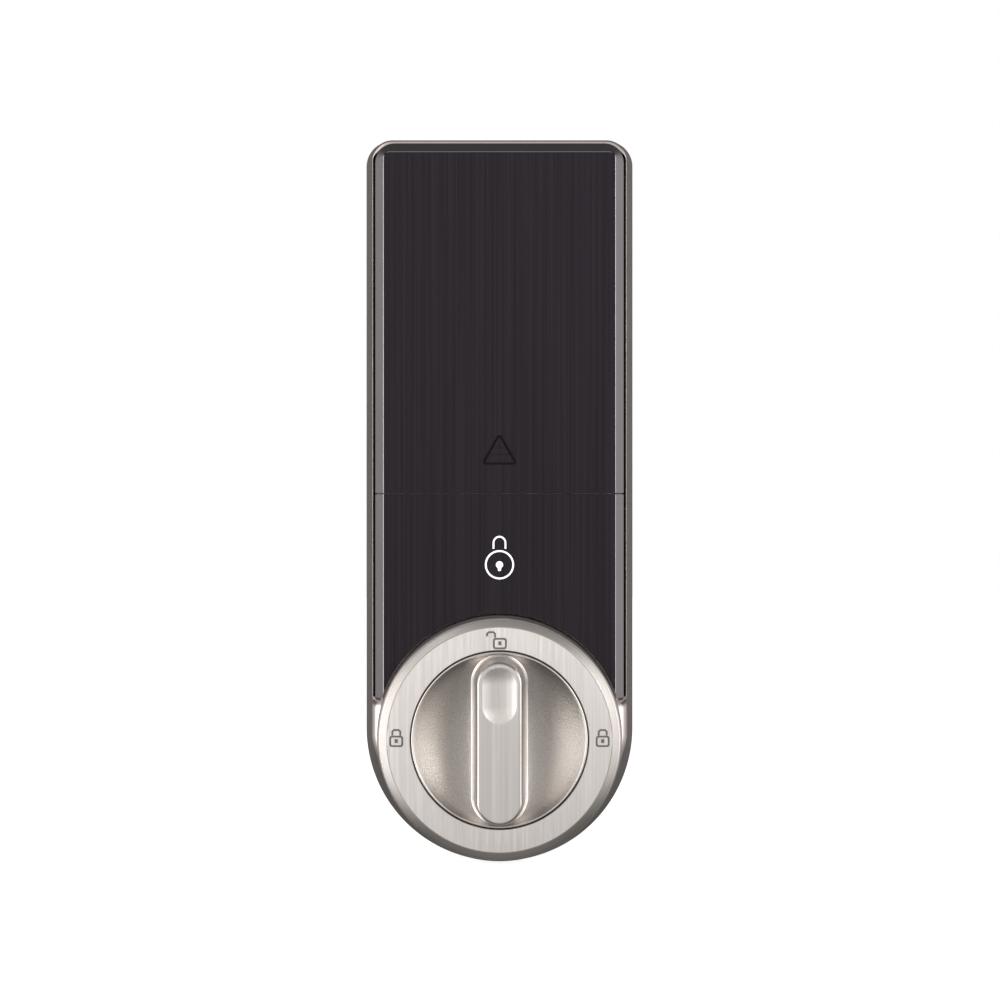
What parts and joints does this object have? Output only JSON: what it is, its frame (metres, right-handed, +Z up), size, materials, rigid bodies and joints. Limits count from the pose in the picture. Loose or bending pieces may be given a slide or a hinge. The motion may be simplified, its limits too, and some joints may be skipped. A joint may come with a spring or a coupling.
{
  "type": "keypad deadbolt inside unit",
  "caption": "Inside unit of a keypad deadbolt: satin housing with a slide-up battery cover, a padlock touch key and a round thumbturn in a bezel ring, geared to a motor.",
  "frame": {"origin": "where the turn axis meets the door face, at the middle of the two through bolts", "axes": "+X right as seen from the room, +Y into the door, +Z up; the front faces -Y"},
  "size_m": [0.07, 0.045, 0.189],
  "materials": {
    "satin_metal": "satin nickel plate over a zinc casting",
    "cover_metal": "dark satin lacquer over a zinc casting",
    "dark_brushed": "black anodised, brushed up and down",
    "ring_metal": "satin nickel, brushed up and down",
    "knob_metal": "satin nickel, blasted scoops and a brushed grip face",
    "cast_metal": "as cast, turned on the bearing",
    "zinc_steel": "zinc-plated pressed steel",
    "bright_steel": "plain steel",
    "dark_steel": "black oxide",
    "spring_steel": "spring steel, plated",
    "contact_plate": "nickel-plated contact strip",
    "motor_can": "drawn steel can",
    "shield_can": "tinned shield",
    "magnet_nickel": "nickel-plated magnet",
    "pinion_brass": "cut brass",
    "copper_foil": "copper foil",
    "black_plastic": "black moulding",
    "icon_white": "backlit white",
    "clear_plastic": "milky light guide",
    "acetal": "natural acetal",
    "cell_wrap": "plain shrink wrap",
    "wire_red": "wire insulation",
    "board_green": "solder mask",
    "chip_black": "moulded package",
    "header_white": "nylon",
    "led_white": "diffuser"
  },
  "bodies": {
    "body": {"housing": "satin_metal", "mounting_plate": "zinc_steel", "rear_cover": "black_plastic", "assembly_screws": "bright_steel", "rear_cover_screws": "dark_steel", "lower_panel": "cover_metal", "panel_faceplate": "dark_brushed", "panel_screws": "dark_steel", "touch_icon": "icon_white", "light_guide": "clear_plastic", "touch_electrode": "copper_foil", "bezel_ring": "ring_metal", "ring_screws": "dark_steel", "knob_bush": "acetal", "battery_tray": "black_plastic", "battery_1": "cell_wrap", "battery_2": "cell_wrap", "battery_3": "cell_wrap", "battery_4": "cell_wrap", "battery_springs": "spring_steel", "battery_contacts": "contact_plate", "battery_leads": "wire_red", "main_board": "board_green", "board_screws": "bright_steel", "board_chips": "chip_black", "radio_module": "shield_can", "buzzer": "chip_black", "cable_header": "header_white", "status_leds": "led_white", "motor": "motor_can", "motor_clamp": "zinc_steel", "clamp_screws": "dark_steel", "idler_pin": "bright_steel", "idler_clip": "spring_steel", "sensor_board": "board_green", "hall_sensors": "chip_black", "reset_board": "board_green", "reset_switch": "chip_black"},
    "cover": {"battery_cover": "cover_metal", "cover_faceplate": "dark_brushed"},
    "thumbturn": {"knob": "knob_metal", "knob_hub": "cast_metal", "knob_screws": "dark_steel", "spindle": "bright_steel", "spindle_pin": "bright_steel", "drive_gear": "acetal", "position_magnet": "magnet_nickel", "retaining_clip": "spring_steel"},
    "idler": {"idler_gear": "acetal"},
    "motor_drive": {"motor_pinion": "pinion_brass", "motor_shaft": "bright_steel"},
    "reset": {"reset_button": "header_white"}
  },
  "joints": [
    {"name": "thumbturn_turn", "type": "hinge", "parent": "body", "child": "thumbturn", "pos_m": [0, 0, 0], "axis": [0, 1, 0], "range_deg": [-90, 90]},
    {"name": "idler_spin", "type": "hinge", "parent": "body", "child": "idler", "pos_m": [0.01125, -0.01, 0.01949], "axis": [0, 1, 0], "range_deg": [-370, 370]},
    {"name": "motor_spin", "type": "hinge", "parent": "body", "child": "motor_drive", "pos_m": [0.02051, -0.01, 0.03052], "axis": [0, 1, 0], "range_deg": [-1100, 1100]},
    {"name": "cover_slide", "type": "slide", "parent": "body", "child": "cover", "axis": [0, 0, 1], "range_m": [0, 0.092]},
    {"name": "reset_press", "type": "slide", "parent": "body", "child": "reset", "axis": [0, 1, 0], "range_m": [0, 0.0004], "stiffness_N_per_m": 400, "springref_m": -0.0005}
  ],
  "couplings": [
    {"joint": "idler_spin", "follows": "thumbturn_turn", "ratio": -4},
    {"joint": "motor_spin", "follows": "thumbturn_turn", "ratio": 12}
  ]
}
